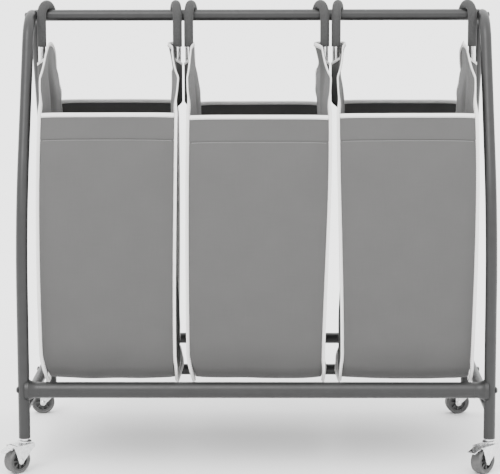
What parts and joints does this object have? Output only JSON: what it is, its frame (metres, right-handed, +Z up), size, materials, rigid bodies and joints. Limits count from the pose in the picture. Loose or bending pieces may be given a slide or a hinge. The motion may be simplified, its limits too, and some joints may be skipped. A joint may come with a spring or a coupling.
{
  "type": "laundry sorter on wheels",
  "caption": "Rolling laundry sorter: bent tube side frames joined by rails, swivel casters, and open fabric bags hung from the top rail by hooked handles.",
  "frame": {"origin": "on the floor under the centre of the frame, midway between the four caster stems", "axes": "+X to the right along the rails, +Y to the back, +Z up; the bags' handles hook over the top rail from the front (-Y)"},
  "size_m": [0.8129, 0.4236, 0.7605],
  "materials": {
    "frame_paint": "satin grey powder coat",
    "bolt_black": "black oxide",
    "insert_plastic": "moulded",
    "socket_plastic": "moulded",
    "zinc": "bright zinc plate",
    "wheel_plastic": "moulded",
    "tyre_grey": "smooth grey rubber",
    "bag_cloth": "plain woven warm grey cloth",
    "bag_binding": "off-white woven tape",
    "thread": "sewing thread",
    "handle_aluminium": "bright drawn tube",
    "grip_foam": "dark grey soft foam"
  },
  "bodies": {
    "frame": {"side_arch_left": "frame_paint", "side_stretcher_left": "frame_paint", "front_saddle_left": "frame_paint", "side_arch_right": "frame_paint", "side_stretcher_right": "frame_paint", "front_saddle_right": "frame_paint", "top_rail": "frame_paint", "support_rail_front": "frame_paint", "support_rail_back": "frame_paint", "back_rail": "frame_paint", "front_rail": "frame_paint", "rail_bolts": "bolt_black", "rail_nut_inserts": "insert_plastic", "saddle_nuts": "bolt_black", "caster_sockets": "socket_plastic", "swivel_balls": "zinc", "caster_stem_front_left": "zinc", "caster_stem_front_right": "zinc", "caster_stem_back_left": "zinc", "caster_stem_back_right": "zinc"},
    "swivel_front_left": {"fork_front_left": "zinc", "axle_front_left": "zinc", "brake_pin_front_left": "zinc"},
    "wheel_front_left": {"wheel_core_front_left": "wheel_plastic", "tyre_front_left": "tyre_grey"},
    "brake_front_left": {"brake_lever_front_left": "zinc"},
    "swivel_front_right": {"fork_front_right": "zinc", "axle_front_right": "zinc", "brake_pin_front_right": "zinc"},
    "wheel_front_right": {"wheel_core_front_right": "wheel_plastic", "tyre_front_right": "tyre_grey"},
    "brake_front_right": {"brake_lever_front_right": "zinc"},
    "swivel_back_left": {"fork_back_left": "zinc", "axle_back_left": "zinc"},
    "wheel_back_left": {"wheel_core_back_left": "wheel_plastic", "tyre_back_left": "tyre_grey"},
    "swivel_back_right": {"fork_back_right": "zinc", "axle_back_right": "zinc"},
    "wheel_back_right": {"wheel_core_back_right": "wheel_plastic", "tyre_back_right": "tyre_grey"},
    "bag_left": {"bag_fabric_left": "bag_cloth", "handle_tube_left_left": "handle_aluminium", "grip_left_left": "grip_foam", "handle_tube_left_right": "handle_aluminium", "grip_left_right": "grip_foam"},
    "bag_middle": {"bag_fabric_middle": "bag_cloth", "handle_tube_middle_left": "handle_aluminium", "grip_middle_left": "grip_foam", "handle_tube_middle_right": "handle_aluminium", "grip_middle_right": "grip_foam"},
    "bag_right": {"bag_fabric_right": "bag_cloth", "handle_tube_right_left": "handle_aluminium", "grip_right_left": "grip_foam", "handle_tube_right_right": "handle_aluminium", "grip_right_right": "grip_foam"}
  },
  "joints": [
    {"name": "caster_swivel_front_left", "type": "hinge", "parent": "frame", "child": "swivel_front_left", "pos_m": [-0.379, -0.186, 0.0481], "axis": [0, 0, 1], "continuous": true},
    {"name": "wheel_roll_front_left", "type": "hinge", "parent": "swivel_front_left", "child": "wheel_front_left", "pos_m": [-0.39031, -0.19731, 0.021], "axis": [0.7071, -0.7071, 0], "continuous": true},
    {"name": "brake_lever_turn_front_left", "type": "hinge", "parent": "swivel_front_left", "child": "brake_front_left", "pos_m": [-0.39668, -0.20368, 0.0442], "axis": [0.7071, -0.7071, 0], "range_deg": [0, 18]},
    {"name": "caster_swivel_front_right", "type": "hinge", "parent": "frame", "child": "swivel_front_right", "pos_m": [0.379, -0.186, 0.0481], "axis": [0, 0, 1], "continuous": true},
    {"name": "wheel_roll_front_right", "type": "hinge", "parent": "swivel_front_right", "child": "wheel_front_right", "pos_m": [0.36769, -0.19731, 0.021], "axis": [0.7071, -0.7071, 0], "continuous": true},
    {"name": "brake_lever_turn_front_right", "type": "hinge", "parent": "swivel_front_right", "child": "brake_front_right", "pos_m": [0.36132, -0.20368, 0.0442], "axis": [0.7071, -0.7071, 0], "range_deg": [0, 18]},
    {"name": "caster_swivel_back_left", "type": "hinge", "parent": "frame", "child": "swivel_back_left", "pos_m": [-0.379, 0.186, 0.0481], "axis": [0, 0, 1], "continuous": true},
    {"name": "wheel_roll_back_left", "type": "hinge", "parent": "swivel_back_left", "child": "wheel_back_left", "pos_m": [-0.39484, 0.18377, 0.021], "axis": [0.1392, -0.9903, 0], "continuous": true},
    {"name": "caster_swivel_back_right", "type": "hinge", "parent": "frame", "child": "swivel_back_right", "pos_m": [0.379, 0.186, 0.0481], "axis": [0, 0, 1], "continuous": true},
    {"name": "wheel_roll_back_right", "type": "hinge", "parent": "swivel_back_right", "child": "wheel_back_right", "pos_m": [0.36316, 0.18377, 0.021], "axis": [0.1392, -0.9903, 0], "continuous": true},
    {"name": "bag_lift_left", "type": "slide", "parent": "frame", "child": "bag_left", "axis": [0, 0, 1], "range_m": [0, 0.03]},
    {"name": "bag_lift_middle", "type": "slide", "parent": "frame", "child": "bag_middle", "axis": [0, 0, 1], "range_m": [0, 0.03]},
    {"name": "bag_lift_right", "type": "slide", "parent": "frame", "child": "bag_right", "axis": [0, 0, 1], "range_m": [0, 0.03]}
  ]
}
